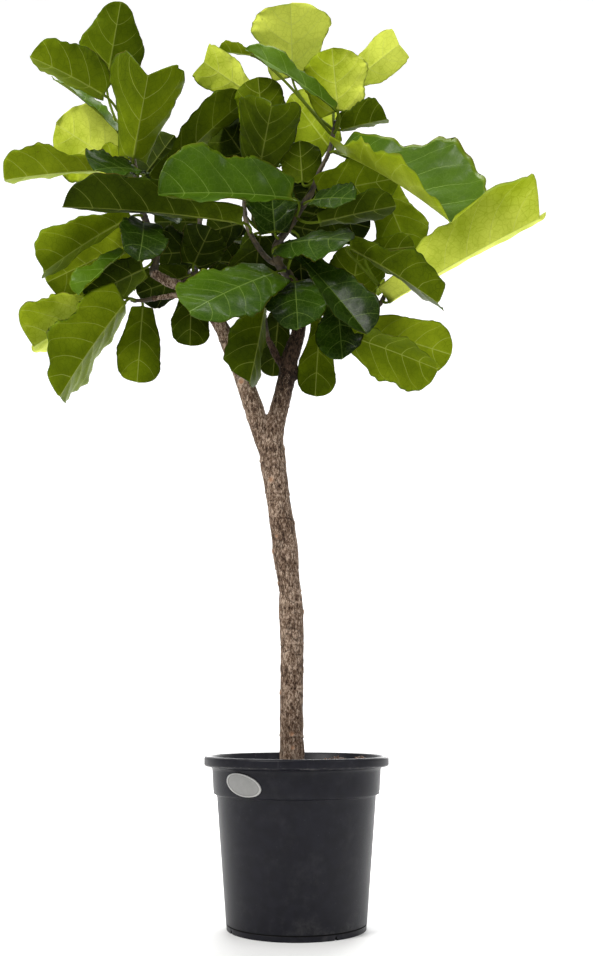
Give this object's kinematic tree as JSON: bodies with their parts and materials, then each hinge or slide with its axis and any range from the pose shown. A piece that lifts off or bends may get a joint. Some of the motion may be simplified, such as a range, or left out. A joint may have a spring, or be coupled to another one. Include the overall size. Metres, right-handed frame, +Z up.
{
  "type": "potted fiddle leaf fig",
  "caption": "Fiddle leaf fig tree: a bare forked trunk carries broad, wavy, fiddle-shaped leaves, and stands in soil in a round dark plastic nursery pot with a wide rim.",
  "frame": {"origin": "on the pot's axis, at the underside of the flat pad in the middle of its floor, level with the surface it stands on", "axes": "+Z up along the pot's axis, -Y towards the viewer of the picture, +X to the viewer's right"},
  "size_m": [1.0561, 0.6874, 1.8201],
  "materials": {
    "pot_plastic": "satin, faintly scuffed",
    "badge_plastic": "satin",
    "soil": "damp potting mix with coir",
    "bark": "rough, mottled",
    "leaf": "waxy upper face, matt underside"
  },
  "bodies": {
    "root": {"pot": "pot_plastic", "pot_badge": "badge_plastic", "soil": "soil", "trunk": "bark", "leafy_stem_left": "leaf", "leafy_stem_left_low": "leaf", "leafy_stem_knob": "leaf", "leafy_stem_twig": "leaf", "leafy_stem_centre_left": "leaf", "leafy_stem_centre": "leaf", "leafy_stem_top": "leaf", "leafy_stem_right": "leaf", "leafy_stem_back_left": "leaf", "leafy_stem_back_right": "leaf", "leafy_stem_back_centre": "leaf"}
  },
  "joints": []
}
